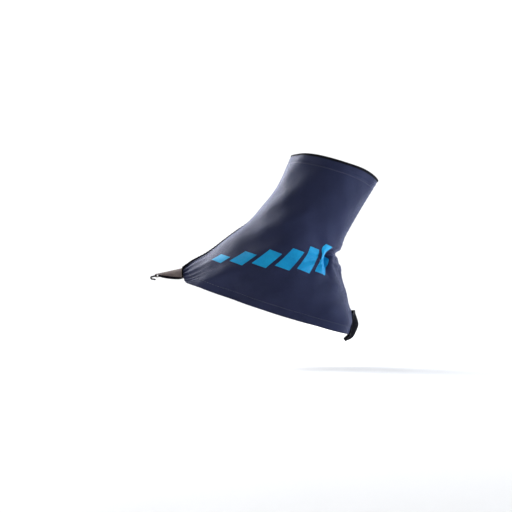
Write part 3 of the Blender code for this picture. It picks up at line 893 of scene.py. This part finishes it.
def lace_hook():
    """A slotted plate whose end turns under and back, with softened edges."""
    bend_top = HOOK_PIN + np.array((HOOK_BEND - HOOK_LENGTH, 0, -HOOK_DROP))
    start = HOOK_PIN + np.array((SLOT[0], 0, 0))
    forward = (bend_top - start) / (start[0] - bend_top[0])
    marks = (0.0, 2 * SLOT[0], 2 * SLOT[0] + 0.5, SLOT[0] + SLOT[1] - 0.5, SLOT[0] + SLOT[1], 3.4, 4.0)
    centres = [start + forward * m for m in marks if m < start[0] - bend_top[0]] + [bend_top]
    halves = [HOOK_HALF - 0.5] + [HOOK_HALF] * (len(centres) - 1)
    for k in range(1, 11):
        angle = math.pi / 2 + math.pi * k / 10
        spoke = np.array((math.cos(angle), 0, math.sin(angle))) * HOOK_BEND
        centres.append(bend_top - np.array((0, 0, HOOK_BEND)) + spoke)
        halves.append(HOOK_HALF - 0.16 * k)
    for share in (0.35, 0.7, 0.9, 1.0):
        centres.append(bend_top + np.array((HOOK_RETURN * share, 0, -2 * HOOK_BEND - 0.4 * share)))
        halves.append(3.0 - 1.0 * share**2 - (0.7 if share == 1.0 else 0))
    lanes = (-1.0, -SLOT[2] / HOOK_HALF, -0.5, 0.0, 0.5, SLOT[2] / HOOK_HALF, 1.0)
    verts, faces = [], []
    for centre, half in zip(centres, halves):
        for lane in lanes:
            verts.append((centre + np.array((0, half * lane, 0))) * MM)
    width = len(lanes)
    for i in range(len(centres) - 1):
        for j in range(width - 1):
            if 1 <= i <= 3 and 1 <= j <= 4:
                continue
            a = i * width + j
            faces.append((a, a + 1, a + width + 1, a + width))
    mesh = bpy.data.meshes.new("lace_hook_plate")
    mesh.from_pydata([tuple(v) for v in verts], [], faces)
    mesh.shade_smooth()
    mesh.materials.append(METAL)
    hook = link("lace_hook_plate", mesh)
    thick = hook.modifiers.new("thick", "SOLIDIFY")
    thick.thickness, thick.offset, thick.use_even_offset = HOOK_THICK * MM, 0.0, True
    edge = hook.modifiers.new("edge", "BEVEL")
    edge.width, edge.segments, edge.limit_method, edge.angle_limit = 0.22 * MM, 3, "ANGLE", math.radians(40)
    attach(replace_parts(hook, "lace_hook"), "front_hook")


HEEL_TAB_LINE = (
    (52.1, -51.0), (52.6, -54.5), (54.0, -58.5), (55.2, -62.5), (55.2, -66.0), (51.0, -75.5),
    (48.0, -78.2), (43.0, -80.2),
)
# How far the tab wraps round the heel: (mm along it, wrap in mm)
HEEL_WRAPS = (
    (0.0, 2.2), (4.5, 3.6), (8.0, 6.0), (12.0, 7.2), (15.5, 7.2), (20.0, 6.4), (26.0, 5.0), (35.0, 2.2),
)
HEEL_HALF, HEEL_THICK, HEEL_PAD_SPAN = 12.0, 1.25, (18.6, 27.3)
HOOK_PITCH, HOOK_BASE = 1.15, 0.55  # the hook tape's pitch and its base's thickness


def pad_of_hooks(name, body, node, face, out):
    """A pad of hook tape: its base, and rows of small bent hooks.

    face and out give points and outward directions at two shares from 0 to 1.
    """
    share = np.linspace(0, 1, 14)
    u, v = np.meshgrid(share, share, indexing="ij")
    base, out_of = face(u, v), out(u, v)
    uv = np.stack([u, v], -1)
    top = base + out_of * HOOK_BASE * MM
    pad = shell(f"{name}_base", "hook_tape", HOOKS, top, base, uv, sharp=60)
    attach(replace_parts(pad, node), body)
    wide = np.linalg.norm(base[-1, 0] - base[0, 0]) / MM
    tall = np.linalg.norm(base[0, -1] - base[0, 0]) / MM
    paths = []
    for a in np.linspace(0.05, 0.95, max(2, int(wide / HOOK_PITCH))):
        for b in np.linspace(0.08, 0.92, max(2, int(tall / HOOK_PITCH))):
            foot, rise = face(np.array(a), np.array(b)), out(np.array(a), np.array(b))
            along = unit(base[0, -1] - base[0, 0])
            bow = np.linspace(0, 1, 5)
            lifts = [0.45 + 0.75 * math.sin(t * 2.2) for t in bow]
            paths.append([foot + rise * up * MM + along * 0.42 * t * MM for up, t in zip(lifts, bow)])
    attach(tubes(f"{name}_hooks", "hook_tape", HOOKS, paths, 0.11, 4), body)


def heel_tab():
    """The smooth tab behind the heel, wrapped round it, with its stitching and its pad of hook tape."""
    points = np.array(HEEL_TAB_LINE)
    length = path_lengths(points)
    at = np.linspace(0, length[-1], 72)
    line = smooth_line(np.c_[length, points], at)
    centres = np.stack([line[:, 0], 0 * at, line[:, 1]], -1)[::-1]
    at = at[::-1]
    ends = np.minimum(at, length[-1] - at)
    halves = HEEL_HALF + 1.4 * bell(at - 14, 8) - 1.6 * np.clip(1 - ends / 2.5, 0, 1) ** 2
    arches = smooth_line(HEEL_WRAPS, at)[:, 0]
    tab, middle, faces = strap(
        "heel_tab_webbing", "black_webbing", BLACK, centres, halves, arches, HEEL_THICK, columns=41
    )
    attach(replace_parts(tab, "heel_tab"), "heel_strap")
    last = middle.shape[1] - 1.0
    paths = []
    for row in (70.0, 66.5):
        paths += stitch_run(middle, faces, (row, 4), (row, last - 4), 12, 0.62)
    for column in (3.5, last - 3.5):
        paths += stitch_run(middle, faces, (4.0, column), (70.0, column), 16, 0.6)
    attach(tubes("heel_tab_stitches", "black_webbing", BLACK_THREAD, paths, 0.15), "heel_strap")
    low, high = (np.interp(-a, -at, np.arange(len(at))) for a in HEEL_PAD_SPAN[::-1])
    span = (0.13 * last, 0.87 * last)
    inward = -(HEEL_THICK / 2 + 0.08)

    def face(u, v):
        return sewn_line(middle, faces, lerp(low, high, v), lerp(*span, u), inward)

    def out(u, v):
        return -between(faces, lerp(low, high, v), lerp(*span, u))

    pad_of_hooks("heel_pad", "heel_strap", "heel_hook_pad", face, out)


SIDE_TAB_HALF, SIDE_TAB_THICK, SIDE_TAB_LENGTH = 10.0, 1.0, 17.9
SIDE_PAD_HALF, SIDE_PAD_SPAN = 8.0, (4.0, 16.4)


def side_tabs():
    """Hidden tabs inside the hem, hinged along the line where each is sewn to the facing."""
    for joint in frame["joints"]:
        name = joint["name"].removesuffix("_tab_fold")
        if name not in dict(SIDES):
            continue
        side = dict(SIDES)[name]
        hinge, along = np.array(joint["pos_m"]) / MM, np.array(joint["axis"])
        pad_low, pad_high = (np.array(v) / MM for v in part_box(f"{name}_side_tab"))
        down = (pad_low + pad_high) / 2 - hinge
        down = unit(down - along * (down @ along))
        inward = np.cross(down, along)
        inward = inward * -np.sign(inward[1] * side)
        v = np.linspace(0, 1, 26)[:, None]
        u = np.sin(np.linspace(-1, 1, 21) * math.pi / 2)[None]
        half = SIDE_TAB_HALF - 1.8 * np.clip((v - 0.9) / 0.1, 0, 1) ** 2
        middle = hinge + along * (u * half)[..., None] + down * (v * SIDE_TAB_LENGTH + 0 * u)[..., None]
        middle = middle + inward * SIDE_TAB_THICK / 2
        thin = (SIDE_TAB_THICK / 2 * np.sqrt(1 - 0.9 * np.abs(u) ** 10) + 0 * v)[..., None]
        faces = np.broadcast_to(inward, middle.shape)
        uv = np.stack(np.broadcast_arrays(u * half, v * SIDE_TAB_LENGTH), -1) / 10
        body = f"{name}_strap"
        outer, inner = (middle + inward * thin) * MM, (middle - inward * thin) * MM
        tab = shell(f"{name}_side_webbing", "black_webbing", BLACK, outer, inner, uv)
        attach(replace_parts(tab, f"{name}_side_tab"), body)
        paths = stitch_run(middle, faces, (2.0, 3), (2.0, 17), 9, 0.5)
        for column in (2.0, 18.0):
            paths += stitch_run(middle, faces, (2.0, column), (22.0, column), 7, 0.5)
        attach(tubes(f"{name}_side_stitches", "black_webbing", BLACK_THREAD, paths, 0.14), body)

        def face(a, b, hinge=hinge, along=along, down=down, inward=inward):
            across = along * ((2 * a - 1) * SIDE_PAD_HALF)[..., None]
            below = down * lerp(*SIDE_PAD_SPAN, b)[..., None]
            return (hinge + across + below + inward * (SIDE_TAB_THICK + 0.1)) * MM

        def out(a, b, inward=inward):
            return np.broadcast_to(inward, (*np.broadcast(a, b).shape, 3))

        pad_of_hooks(f"{name}_pad", body, f"{name}_hook_pad", face, out)


LABEL_LEVELS, LABEL_TURNS = (0.80, 0.90), (2.36, 2.72)


def care_label():
    """A blank label sewn to the top facing, its free edge lifted a little."""
    columns = 40
    level = np.linspace(*LABEL_LEVELS, 26)[:, None]
    lap = lerp(*(lap_at(level, turn) for turn in LABEL_TURNS), np.linspace(0, 1, columns)[None])
    level = level + 0 * lap
    lift = 1.7 + 1.3 * ((LABEL_LEVELS[1] - level) / (LABEL_LEVELS[1] - LABEL_LEVELS[0])) ** 2
    lift = lift + 0.2 * np.sin(np.linspace(0, 3 * math.pi, columns))[None] * (lift - 1.7)
    outer, inner = on_cloth(level, lap, 0.4 + lift), on_cloth(level, lap, 0.72 + lift)
    made = shell("blank_label", "label_cloth", LABEL, outer, inner, cloth_uv(level, lap))
    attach(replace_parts(made, "care_label"), "cuff")


# --- print ---

BAR_COUNT, BAR_FILL, BAR_SLANT = 6, 0.68, 1.1
BAR_TURNS, BAR_BASES, BAR_HEIGHTS = (-0.52, -2.40), (0.18, 0.325), (0.05, 0.21)


def printed_bars():
    """Slanted bars that grow taller towards the heel."""
    pitch = (BAR_TURNS[1] - BAR_TURNS[0]) / BAR_COUNT
    for k in range(BAR_COUNT):
        share = k / (BAR_COUNT - 1)
        start = BAR_TURNS[0] + pitch * k
        low = lerp(*BAR_BASES, share)
        high = low + BAR_HEIGHTS[0] + (BAR_HEIGHTS[1] - BAR_HEIGHTS[0]) * share

        def laps_at(level, start=start, low=low):
            turn = start - BAR_SLANT * (level - low)
            return lap_at(level, turn), lap_at(level, turn + pitch * BAR_FILL)

        rows = int((high - low) * HEIGHT / 0.45)
        bar = layer(f"bar_{k + 1}", "cyan_print", CYAN, (low, high), laps_at, (-0.16, -0.04), rows, 44)
        bend(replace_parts(bar, f"print_bar_{k + 1}"))


# --- stage ---


def stand(made, place, aim):
    """Put a light or a camera at a place, looking at another."""
    made.location = place
    made.rotation_euler = (aim - place).to_track_quat("-Z", "Y").to_euler()


def area_light(name, place, aim, size, power, colour):
    data = bpy.data.lights.new(name, "AREA")
    data.shape, data.size, data.size_y = "RECTANGLE", *size
    data.energy, data.color = power, colour
    stand(link(name, data), Vector(place), Vector(aim))


GROUND = -104.6 * MM  # where the shoe's sole would stand
FLOOR_FLAT, FLOOR_RISE, FLOOR_TOP = 1.6, 1.0, 4.0  # its flat radius, its curve's radius and its top, in m
FLOOR_STEPS, FLOOR_SPOKES = 24, 96
LIGHT_AIM = (-0.03, 0, 0.02)
COOL = (0.78, 0.86, 1.0)
LIGHTS = (
    ("key", (-0.95, 0.4, 0.85), LIGHT_AIM, (0.6, 0.8), 21, (1, 1, 1)),
    ("rim", (-0.85, 0.74, 0.35), LIGHT_AIM, (0.6, 0.9), 36, (1, 1, 1)),
    ("fill", (1.1, -0.25, 0.0), LIGHT_AIM, (0.5, 0.5), 23, COOL),
    ("back", (0.8, 0.65, 0.3), LIGHT_AIM, (0.6, 0.9), 4, COOL),
    ("over", (0.0, 1.2, 1.9), (0, 2.3, 0.3), (2.5, 1.2), 42, (1, 1, 1)),
)
WORLD_STRENGTH = 0.06


def floor():
    """A round pale floor that curves up into a wall on every side."""
    turned = np.linspace(0, math.pi / 2, FLOOR_STEPS)
    radius = np.r_[FLOOR_FLAT + FLOOR_RISE * np.sin(turned), FLOOR_FLAT + FLOOR_RISE]
    height = np.r_[GROUND + FLOOR_RISE * (1 - np.cos(turned)), FLOOR_TOP]
    spokes = np.arange(FLOOR_SPOKES)
    around, after = spokes / FLOOR_SPOKES * TAU, (spokes + 1) % FLOOR_SPOKES
    verts = [(0, 0, GROUND)]
    for r, z in zip(radius, height):
        verts += [(r * math.cos(a), r * math.sin(a), z) for a in around]
    faces = [(0, 1 + i, 1 + k) for i, k in zip(spokes, after)]
    for ring in range(len(radius) - 1):
        start = 1 + FLOOR_SPOKES * ring
        for i, k in zip(spokes + start, after + start):
            faces.append((i, i + FLOOR_SPOKES, k + FLOOR_SPOKES, k))
    mesh = bpy.data.meshes.new("floor")
    mesh.from_pydata(verts, [], [tuple(int(k) for k in face) for face in faces])
    mesh.shade_smooth()
    made, tree, place = new_material("paper", Specular_IOR_Level=0.2)
    colour = ramp(tree, noise(tree, place, 3.0), (0.3, (0.72, 0.72, 0.72)), (0.7, (0.74, 0.74, 0.74)))
    mesh.materials.append(dress(made, colour, remap(tree, noise(tree, place, 40.0), 0.75, 0.9)))
    link("floor", mesh)


def lighting():
    world = bpy.data.worlds.new("studio")
    world.use_nodes = True
    background = world.node_tree.nodes["Background"]
    background.inputs["Color"].default_value = (1, 1, 1, 1)
    background.inputs["Strength"].default_value = WORLD_STRENGTH
    bpy.context.scene.world = world
    for light in LIGHTS:
        area_light(*light)


CAMERA_DISTANCE, CAMERA_HEIGHT = 1.2, -0.028
CAMERA_AIM = (-0.0422, 0, 0.00096)
FRAME_WIDTH = 0.4915  # the picture's width at the object, in m


def camera():
    """Square on to the outer side, from a little under the ankle's height, as in the photo."""
    data = bpy.data.cameras.new("camera")
    data.sensor_width = 36
    aim = Vector(CAMERA_AIM)
    place = Vector((aim.x, -CAMERA_DISTANCE, CAMERA_HEIGHT))
    data.lens = data.sensor_width * (aim - place).length / FRAME_WIDTH
    made = link("camera", data)
    stand(made, place, aim)
    bpy.context.scene.camera = made


panels = side_panels()
hem_parts = hems()
seams()
stitching()
front_tab()
lace_hook()
heel_tab()
side_tabs()
care_label()
printed_bars()
floor()
lighting()
camera()
bpy.context.scene.view_settings.view_transform = "Standard"
